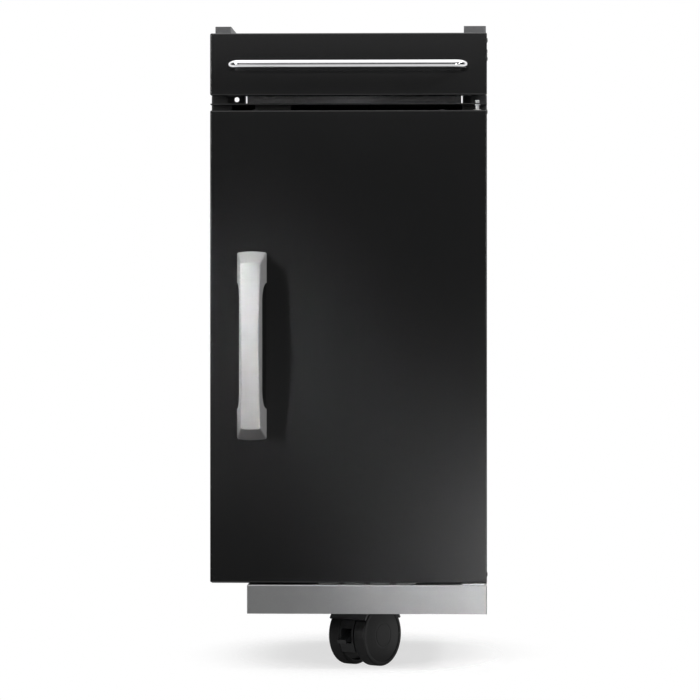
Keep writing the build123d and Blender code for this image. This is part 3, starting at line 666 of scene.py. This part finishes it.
def finish_mesh(name: str, mesh: bpy.types.Mesh, sharp: float) -> bpy.types.Object:
    """Merge doubles, turn faces outwards and smooth all but the sharp edges.

    Args:
        name: the object's name.
        mesh: the mesh to finish.
        sharp: the largest smoothed angle, in degrees.

    Returns:
        The object that shows the mesh.
    """
    shape = bmesh.new()
    shape.from_mesh(mesh)
    bmesh.ops.remove_doubles(shape, verts=shape.verts, dist=MERGE)
    bmesh.ops.dissolve_degenerate(shape, edges=shape.edges, dist=SLIVER)
    bmesh.ops.recalc_face_normals(shape, faces=shape.faces)
    limit = math.radians(sharp)
    for edge in shape.edges:
        edge.smooth = not edge.is_manifold or edge.calc_face_angle(0.0) < limit
    for face in shape.faces:
        face.smooth = True
    shape.to_mesh(mesh)
    shape.free()
    made = bpy.data.objects.new(name, mesh)
    bpy.context.scene.collection.objects.link(made)
    return made


def settle(
    piece: bpy.types.Object, body: str, slot: Slot, finish: Finish, *nodes: str
) -> None:
    """Put a new piece on its body in place of CAD nodes.

    Args:
        piece: the new object.
        body: the body that it rides on.
        slot: the record's material slot; not used.
        finish: its finish.
        nodes: the CAD nodes that it stands for.
    """
    piece.data.materials.clear()
    piece.data.materials.append(finish.material())
    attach(piece, body)
    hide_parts(*nodes)
    LOG.info("%s on %s, %d faces", piece.name, body, len(piece.data.polygons))


def smoothed(node: str, sharp: float = 30.0) -> bpy.types.Object:
    """A copy of a CAD node with merged corners and soft shading on its rounds.

    Args:
        node: the node's name.
        sharp: the largest smoothed angle, in degrees.

    Returns:
        The copy, named after the node.
    """
    return finish_mesh(f"{node}_shell", frame["nodes"][node].data.copy(), sharp)


def turned(profile: Array, centre: Array, axis: Array, start: Array, steps: int) -> Array:
    """A lathe shape: each profile point (along, radius) goes round the axis.

    The point is centre + along * axis + radius * (cos a * start + sin a * side), for a from 0
    to a full turn, where the side lies across the axis and the start.

    Args:
        profile: points as (along, radius).
        centre: a point on the axis.
        axis: the axis direction, of length 1.
        start: a direction across the axis, of length 1.
        steps: points round the axis.

    Returns:
        A grid of points, rows along the profile.
    """
    angle = np.linspace(0.0, FULL_TURN, steps, endpoint=False)
    ring = np.cos(angle)[:, None] * start + np.sin(angle)[:, None] * np.cross(axis, start)
    return centre + profile[:, None, :1] * axis + profile[:, None, 1:] * ring


def rounded(corners: Sequence[Point], steps: int = 6) -> Array:
    """A polyline whose corners are rounded.

    Each corner (a, b, cut) becomes a curve that leaves one side and joins the other: the point
    at t is (1-t)^2 * before + 2t(1-t) * corner + t^2 * after, where before and after lie on the
    two sides, at the cut from the corner.

    Args:
        corners: points with the length of side that each round takes.
        steps: points per round.

    Returns:
        The points of the rounded line.
    """
    spots = np.array([c[:2] for c in corners], float)
    cuts = [c[2] for c in corners]
    t = np.linspace(0.0, 1.0, steps)[:, None]
    lines = [spots[:1]]
    for before, corner, after, cut in zip(spots[:-2], spots[1:-1], spots[2:], cuts[1:-1]):
        enter = corner + (before - corner) / np.linalg.norm(before - corner) * cut
        leave = corner + (after - corner) / np.linalg.norm(after - corner) * cut
        lines.append((1 - t) ** 2 * enter + 2 * t * (1 - t) * corner + t**2 * leave)
    lines.append(spots[-1:])
    return np.concatenate(lines)


@dataclass(frozen=True)
class RivetHead:
    """A domed rivet head on a short shank."""

    radius: float = 3.2 * MM
    rise: float = 1.2 * MM
    bow: float = 0.92
    shank_share: float = 0.5
    shank_length: float = 3.0 * MM
    rings: int = 9
    steps: int = 24

    def grid(self) -> Array:
        """One head that looks along +X, with its seat at the origin.

        At a share s of the radius the dome is rise * sqrt(1 - bow * s^2) high: a cap of an
        ellipsoid that ends in a low rim.

        Returns:
            A grid of points, rows from the middle of the dome to the end of the shank.
        """
        share = np.linspace(0.0, 1.0, self.rings)
        dome = np.stack([self.rise * np.sqrt(1 - self.bow * share**2), self.radius * share], -1)
        neck, foot = self.shank_share * self.radius, -self.shank_length
        shank = np.array([[0.0, self.radius], [0.0, neck], [foot, neck], [foot, 0.0]])
        profile = np.concatenate([dome, shank])
        return turned(profile, np.zeros(3), X_AXIS, Y_AXIS, self.steps)


@dataclass(frozen=True)
class ScrewHead:
    """A pan head with a cross recess, on a short shank."""

    radius: float = 3.8 * MM
    rise: float = 2.2 * MM
    crown: float = 0.75
    slot_half: float = 0.13
    slot_edge: float = 60.0
    slot_reach: float = 0.55
    reach_edge: float = 40.0
    recess: float = 0.55
    recess_taper: float = 0.5
    shank_share: float = 0.53
    shank_length: float = 5.0 * MM
    recess_rings: tuple[float, float, int] = (0.0, 0.72, 19)
    rim_rings: tuple[float, float, int] = (0.76, 1.0, 8)
    steps: int = 72

    def grid(self) -> Array:
        """One head that looks along +Y, with its seat at the origin.

        At a share s of the radius the head is rise * sqrt(1 - crown * s^4) high, less a
        cross-shaped pocket: a smooth step across each slot, times a smooth step at its end.

        Returns:
            A grid of points, rows from the middle of the head to the end of the shank.
        """
        share = np.concatenate([np.linspace(*self.recess_rings), np.linspace(*self.rim_rings)])
        angle = np.linspace(0.0, FULL_TURN, self.steps, endpoint=False)
        reach, turn = np.meshgrid(share, angle, indexing="ij")
        across, up = reach * np.cos(turn), reach * np.sin(turn)
        narrow = np.minimum(np.abs(across), np.abs(up))
        long = np.maximum(np.abs(across), np.abs(up))
        slot = 1 / (1 + np.exp((narrow - self.slot_half) * self.slot_edge))
        pocket = slot / (1 + np.exp((long - self.slot_reach) * self.reach_edge))
        sunk = self.recess * pocket * (1 - self.recess_taper * long)
        height = self.rise * (np.sqrt(1 - self.crown * reach**4) - sunk)
        head = np.stack([across * self.radius, height, up * self.radius], -1)
        rim = head[-1:] * (X_AXIS + Z_AXIS)
        shank = rim * self.shank_share
        tip = shank - self.shank_length * Y_AXIS
        return np.concatenate([head, rim, shank, tip, tip * Y_AXIS])


@dataclass
class Carcass:
    """The fixed body: folded sheets, plinth, deck, brackets and their fasteners."""

    rivet: RivetHead = RivetHead()
    screw: ScrewHead = ScrewHead()
    black: tuple[str, ...] = (
        "left_side_panel", "right_side_panel", "floor_panel", "back_panel", "deck",
        "front_top_rail", "rear_top_rail",
    )
    zinc: tuple[str, ...] = (
        "upper_hinge_pin", "lower_hinge_plate", "lower_hinge_pin", "catch_screws",
        "slide_screws", "plinth_screws", "caster_bolts",
    )
    galvanised: tuple[str, ...] = ("caster_bearer", "slide_packers", "left_slide", "right_slide")

    def build(self) -> None:
        """Dress the sheets and make the domed fasteners."""
        dress(BODY_ENAMEL, *self.black)
        dress(SILVER_PAINT, "plinth")
        dress(ZINC, *self.zinc)
        dress(PHOSPHATE, "left_worktop_bracket", "right_worktop_bracket")
        dress(GALVANISED, *self.galvanised)
        # the crossmember gets painted light and shade: a pale middle and black ends
        dress(PRIMER_WITH_PAINTED_SHADE, "bay_crossmember")
        dress(NYLON, "slide_glides")
        dress(CATCH_PLASTIC, "magnet_catch")
        dress(RUBBER, "door_bumpers")
        self.rivets()
        self.screws()

    def rivets(self) -> None:
        """Rivets at both sides; those at the left are turned half round to look outwards."""
        low, high = solid_boxes("body_rivets")
        seat = (low + high) / 2
        side = np.sign(seat[:, 0])
        seat[:, 0] = np.where(side > 0, high[:, 0], low[:, 0]) - side * self.rivet.rise
        turn = np.stack([side, np.ones_like(side), side], -1)
        patches = self.rivet.grid() * turn[:, None, None] + seat[:, None, None]
        made = surface("rivet_domes", patches)
        settle(made, Body.CABINET.value, Slot.ENAMEL, BODY_ENAMEL, "body_rivets")

    def screws(self) -> None:
        """Pan head screws, which look backwards."""
        low, high = solid_boxes("back_screws")
        seat = (low + high) / 2
        seat[:, 1] = high[:, 1] - self.screw.rise
        made = surface("back_screw_heads", self.screw.grid() + seat[:, None, None], sharp=50.0)
        settle(made, Body.CABINET.value, Slot.ENAMEL, BODY_ENAMEL, "back_screws")


@dataclass
class Door:
    """The hinged door: enamelled pan and liner, cast handle and the fittings on them."""

    def build(self) -> None:
        """Dress the skins and soften the handle's rounds."""
        dress(DOOR_ENAMEL, "door_panel")
        dress(BODY_ENAMEL, "door_liner")
        dress(ZINC, "handle_screws", "strike_plate")
        dress(NYLON, "upper_hinge_bush", "lower_hinge_bush")
        dress(CATCH_PLASTIC, "door_plugs")
        handle = smoothed("door_handle")
        settle(handle, Body.DOOR.value, Slot.CASTING, CAST_ALLOY, "door_handle")


@dataclass
class Drawer:
    """The sliding drawer: enamelled front, galvanised box, runners and the chrome rod pull."""

    leg: float = 147.5 * MM
    radius: float = 5.0 * MM
    standoff: float = 27.0 * MM
    bend: float = 12.0 * MM
    bend_points: int = 25
    leg_points: int = 4
    around: int = 48

    def build(self) -> None:
        """Dress the box and make the rod."""
        dress(DRAWER_ENAMEL, "drawer_front")
        dress(BODY_ENAMEL, "drawer_front_liner")
        dress(GALVANISED, "drawer_box", "left_runner", "right_runner")
        dress(ZINC, "drawer_screws", "pull_screws", "runner_rivets")
        self.rod()

    def rod(self) -> None:
        """A round bar whose middle line is two quarter circles between three straight runs."""
        low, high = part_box("drawer_pull")
        foot, height = high.y, (low.z + high.z) / 2
        bar = foot - self.standoff
        turn = np.linspace(0.0, np.pi / 2, self.bend_points)
        across = self.leg - self.bend + self.bend * np.cos(turn)
        away = bar + self.bend - self.bend * np.sin(turn)
        right = np.stack([across, away, np.full_like(turn, height)], -1)
        run = np.linspace(foot, bar + self.bend, self.leg_points + 1)[:-1]
        leg = np.stack([np.full_like(run, self.leg), run, np.full_like(run, height)], -1)
        half = np.concatenate([leg, right])
        line = np.concatenate([half, (half * (1 - 2 * X_AXIS))[::-1]])
        along = np.gradient(line, axis=0)
        along /= np.linalg.norm(along, axis=1, keepdims=True)
        side = np.cross(along, Z_AXIS)
        angle = np.linspace(0.0, FULL_TURN, self.around, endpoint=False)[None, :, None]
        ring = np.cos(angle) * side[:, None] + np.sin(angle) * Z_AXIS
        tube = line[:, None] + self.radius * ring
        ends = [np.repeat(line[i][None, None], self.around, 1) for i in (0, -1)]
        grid = np.concatenate([ends[0], tube, ends[1]])
        made = surface("pull_rod", grid[None])
        settle(made, Body.DRAWER.value, Slot.CHROME, CHROME, "drawer_pull")


@dataclass
class Caster:
    """A twin-wheel caster: plate and kingpin on the plinth, hood, axle, wheels and brake lever.

    The sizes of the wheel's section are in millimetres.
    """

    end: str
    radius: float = 40.0
    bore: float = 4.06
    bore_end: float = 23.8
    hub: float = 10.9
    hub_foot: float = 12.6
    web: float = 5.6
    cap_rise: float = 0.9
    button: float = 15.5
    steps: int = 128

    def build(self) -> None:
        """Dress the metal, soften the hood and turn the wheels."""
        dress(GALVANISED, f"{self.end}_caster_plate")
        dress(ZINC, f"{self.end}_kingpin", f"{self.end}_caster_axle", f"{self.end}_brake_pin")
        swivel = f"{self.end}_swivel"
        hood, lever = f"{self.end}_caster_hood", f"{self.end}_brake_lever"
        settle(smoothed(hood), swivel, Slot.PLASTIC, HOOD_PLASTIC, hood)
        settle(smoothed(lever), f"{self.end}_brake", Slot.PLASTIC, HOOD_PLASTIC, lever)
        self.wheel("near", 1.0)
        self.wheel("far", -1.0)

    def section(self, inside: float, crown: float) -> Array:
        """Half of the wheel's section, as rounded corners (along the axle, radius, cut).

        Args:
            inside: where the hub's face lies along the axle.
            crown: where the middle of the cap lies along the axle.

        Returns:
            Points as (along, radius), from the bore round the tread to the cap.
        """
        rim, outside = self.radius, crown - self.cap_rise
        bore = [
            (self.bore_end, 0.0, 0.0),
            (self.bore_end, self.bore, 0.05),
            (inside, self.bore, 0.3),
        ]
        hub = [(inside, self.hub, 0.8), (inside + self.web, self.hub_foot, 1.0)]
        flange = [
            (inside + self.web, rim - 7.4, 1.6),
            (inside + 0.6, rim - 5.6, 0.7),
            (inside + 0.6, rim - 0.9, 0.7),
        ]
        tread = [
            (inside + 2.0, rim - 0.05, 0.9),
            ((inside + outside) / 2, rim, 2.0),
            (outside - 1.4, rim - 0.05, 0.9),
            (outside, rim - 0.8, 0.7),
        ]
        groove = [
            (outside + 0.05, rim - 4.9, 0.4),
            (outside - 0.7, rim - 5.3, 0.3),
            (outside - 0.55, rim - 6.1, 0.3),
        ]
        cap = [(crown - 0.55, rim - 16.5, 4.0), (crown - 0.1, self.button, 2.0)]
        button = [
            (crown - 0.32, self.button - 0.6, 0.3),
            (crown - 0.05, self.button - 1.3, 0.4),
            (crown, 5.0, 2.0),
            (crown, 0.0, 0.0),
        ]
        return rounded([*bore, *hub, *flange, *tread, *groove, *cap, *button])

    def wheel(self, name: str, sign: float) -> None:
        """A wheel with a crowned tread, a ringed cap outside and a hub and rim inside.

        Args:
            name: which wheel of the pair.
            sign: 1 where the joint's axis points out of the wheel's cap, -1 where it points in.
        """
        node, body = f"{self.end}_{name}_wheel", f"{self.end}_{name}_roller"
        joint = next(j for j in frame["joints"] if j["child"] == body)
        centre, out = np.array(joint["pos_m"]), sign * np.array(joint["axis"])
        reach = (points(frame["nodes"][node].data) - centre) @ out / MM
        edge = self.section(reach.min(), reach.max()) * MM
        grid = turned(edge, centre, out, Z_AXIS, self.steps)
        made = surface(f"{node}_tyre", grid[None], sharp=40.0)
        settle(made, body, Slot.PLASTIC, WHEEL_PLASTIC, node)


@dataclass(frozen=True)
class SoftBox:
    """A flat lamp: where it hangs, what it faces, its size in metres and its power in watts.

    A gridded box has a narrow spread, and the roll turns its long side about its own beam; both
    are in degrees.
    """

    name: str
    place: Point
    aim: Point
    size: tuple[float, float]
    power: float
    roll: float = 0.0
    spread: float = 180.0

    def hang(self) -> None:
        """Add the lamp, which the camera does not see."""
        light = bpy.data.lights.new(self.name, "AREA")
        light.shape = "RECTANGLE"
        light.size, light.size_y = self.size
        light.energy = self.power
        light.spread = math.radians(self.spread)
        made = bpy.data.objects.new(self.name, light)
        made.location = self.place
        made.rotation_mode = "QUATERNION"
        facing = (Vector(self.aim) - Vector(self.place)).to_track_quat("-Z", "Y")
        made.rotation_quaternion = facing @ Quaternion(Z_AXIS, math.radians(self.roll))
        made.visible_camera = False
        bpy.context.scene.collection.objects.link(made)


@dataclass
class Surround:
    """The white room round the cabinet; each step is (start, stop, low, high) of a direction."""

    behind: Step = (-0.25, 0.35, 0.0, 1.0)
    above: Step = (0.3, 0.5, 0.0, 0.9)
    below: Step = (-0.3, -0.5, 0.0, 0.75)
    dome: Step = (-0.4, 0.6, 0.04, 0.2)
    belt: float = 0.01

    def build(self) -> None:
        """White to the camera, a dim dome to dull surfaces, and to mirrors a room.

        The room is white behind, above and below, with a dark belt in front at eye level.
        """
        made = bpy.data.worlds.new("studio_surround")
        made.use_nodes = True
        bpy.context.scene.world = made
        graph = Graph(made.node_tree)
        way = graph.node("ShaderNodeTexCoord", {}, {}, "Generated")
        depth = graph.node("ShaderNodeSeparateXYZ", {}, {0: way}, "Y")
        rise = graph.node("ShaderNodeSeparateXYZ", {}, {0: way}, "Z")
        behind = graph.ramp(depth, *self.behind)
        above = graph.ramp(rise, *self.above)
        below = graph.ramp(rise, *self.below)
        room = (behind + above + below).at_most(1.0).at_least(self.belt)
        dome = graph.ramp(rise, *self.dome)
        seen = graph.ray("Is Camera Ray")
        mirror = (graph.ray("Is Glossy Ray") + graph.ray("Is Transmission Ray")).at_most(1.0)
        strength = seen + (1 - seen) * (mirror * room + (1 - mirror) * dome)
        back = graph.node("ShaderNodeBackground", {}, {"Color": WHITE, "Strength": strength})
        graph.node("ShaderNodeOutputWorld", {}, {"Surface": back})


@dataclass
class Floor:
    """A pale floor that keeps the shadow and melts into the surround away from the cabinet."""

    low: tuple[float, float] = (-0.8, -0.75)
    high: tuple[float, float] = (0.8, 1.6)
    drop: float = 0.5 * MM
    lines: int = 5
    paper: Colour = (0.9, 0.9, 0.9)
    mirrored: Colour = (0.3, 0.3, 0.3)
    glow: float = 1.1
    lift: float = 0.61
    shift: Point = (-0.08, -0.15, 0.0)
    scale: Point = (3.85, 2.5, 1.0)
    fade: Step = (0.35, 1.0, 0.0, 1.0)

    def build(self) -> None:
        """A flat grid just under the wheels."""
        across, deep = (np.linspace(a, b, self.lines) for a, b in zip(self.low, self.high))
        x, y = np.meshgrid(across, deep, indexing="ij")
        grid = np.stack([x, y, np.full_like(x, -self.drop)], -1)
        made = surface("studio_floor", grid[None], around=False)
        if made.data.polygons[0].normal.z < 0:
            made.data.flip_normals()
        made.data.materials.append(self.material())

    def material(self) -> bpy.types.Material:
        """Paper that the camera sees lifted towards white, darker in mirrors and clear far out.

        Returns:
            The floor's material.
        """
        made = bpy.data.materials.new("floor_paper")
        made.use_nodes = True
        graph = Graph(made.node_tree)
        paper = graph.node("ShaderNodeBsdfDiffuse", {}, {"Color": (*self.paper, 1.0)})
        dim = graph.node("ShaderNodeBsdfDiffuse", {}, {"Color": (*self.mirrored, 1.0)})
        gloss = graph.ray("Is Glossy Ray")
        ground = graph.node("ShaderNodeMixShader", {}, {0: gloss, 1: paper, 2: dim})
        white = graph.node("ShaderNodeEmission", {}, {"Color": WHITE, "Strength": self.glow})
        lift = graph.ray("Is Camera Ray") * self.lift
        lifted = graph.node("ShaderNodeMixShader", {}, {0: lift, 1: ground, 2: white})
        spread = {"Vector": graph.place(), "Location": self.shift, "Scale": self.scale}
        scaled = graph.node("ShaderNodeMapping", {}, spread)
        reach = graph.node("ShaderNodeVectorMath", {"operation": "LENGTH"}, {0: scaled}, "Value")
        away = graph.ramp(reach, *self.fade)
        clear = graph.node("ShaderNodeBsdfTransparent", {}, {})
        mixed = graph.node("ShaderNodeMixShader", {}, {0: away, 1: lifted, 2: clear})
        graph.node("ShaderNodeOutputMaterial", {}, {"Surface": mixed})
        return made


@dataclass
class Camera:
    """A long lens a little to the right of the door's middle, framed as in the photograph.

    The focus, the middle and the horizon are in pixels of the square frame, the sensor is in
    millimetres, and the rest in metres and degrees.
    """

    distance: float = 4.5
    yaw: float = 2.0
    eye: float = 0.443
    focus: float = 3543.0
    horizon: float = 323.4
    middle: float = 348.3
    frame_size: float = 700.0
    sensor: float = 36.0
    far: float = 50.0

    def build(self) -> None:
        """Place the camera, with the shift that the framing needs."""
        lens = bpy.data.cameras.new("camera")
        lens.sensor_width = self.sensor
        lens.lens = self.focus / self.frame_size * self.sensor
        lens.shift_x = (self.frame_size / 2 - self.middle) / self.frame_size
        lens.shift_y = (self.horizon - self.frame_size / 2) / self.frame_size
        lens.clip_end = self.far
        made = bpy.data.objects.new("camera", lens)
        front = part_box("door_panel")[0].y
        turn = math.radians(self.yaw)
        away = front - self.distance * math.cos(turn)
        made.location = (self.distance * math.sin(turn), away, self.eye)
        made.rotation_euler = (math.pi / 2, 0.0, turn)
        bpy.context.scene.collection.objects.link(made)
        bpy.context.scene.camera = made


@dataclass
class Studio:
    """The surround, the floor, the lamps and the camera at the photograph's place."""

    boxes: tuple[SoftBox, ...] = (
        SoftBox("key", (-2.1, -2.45, 1.1), (0.0, -0.2, 0.42), (0.3, 0.3), 14.0),
        SoftBox(
            "beam", (-2.1, -2.45, 1.1), (0.045, -0.21, 0.27), (0.6, 0.165), 0.77,
            roll=-56.0, spread=4.5,
        ),
        SoftBox("overhead", (0.0, -0.4, 2.4), (0.0, -0.2, 0.0), (3.8, 3.2), 35.0),
        SoftBox("left_fill", (-1.5, -2.1, 0.615), (0.0, -0.2, 0.7), (0.6, 0.1), 3.5),
        SoftBox("right_fill", (1.5, -2.1, 0.615), (0.0, -0.2, 0.7), (0.6, 0.1), 4.5),
        SoftBox("right_card", (1.5, -1.2, 1.6), (0.0, -0.2, 0.45), (0.4, 0.4), 23.0),
        SoftBox("low_right", (0.48, -1.8, 0.0), (0.1, -0.2, 0.15), (0.4, 0.3), 4.2),
        SoftBox("left_card", (-0.42, -1.8, 0.27), (0.0, -0.2, 0.3), (0.3, 0.25), 0.2),
        SoftBox("top_card", (0.0, -1.8, 1.06), (0.0, -0.2, 0.78), (1.2, 0.15), 0.85),
    )

    def build(self) -> None:
        """Set the stage."""
        bpy.context.scene.view_settings.view_transform = "Standard"
        Surround().build()
        Floor().build()
        for box in self.boxes:
            box.hang()
        Camera().build()


def main() -> None:
    """Build the cabinet's sub-assemblies and the studio, and log each one as it is built."""
    logging.basicConfig(level=logging.INFO, format="%(name)s: %(message)s")
    for part in (Carcass(), Door(), Drawer(), Caster("front"), Caster("rear"), Studio()):
        part.build()
        LOG.info("built %s", type(part).__name__)


if __name__ == "__main__":
    main()
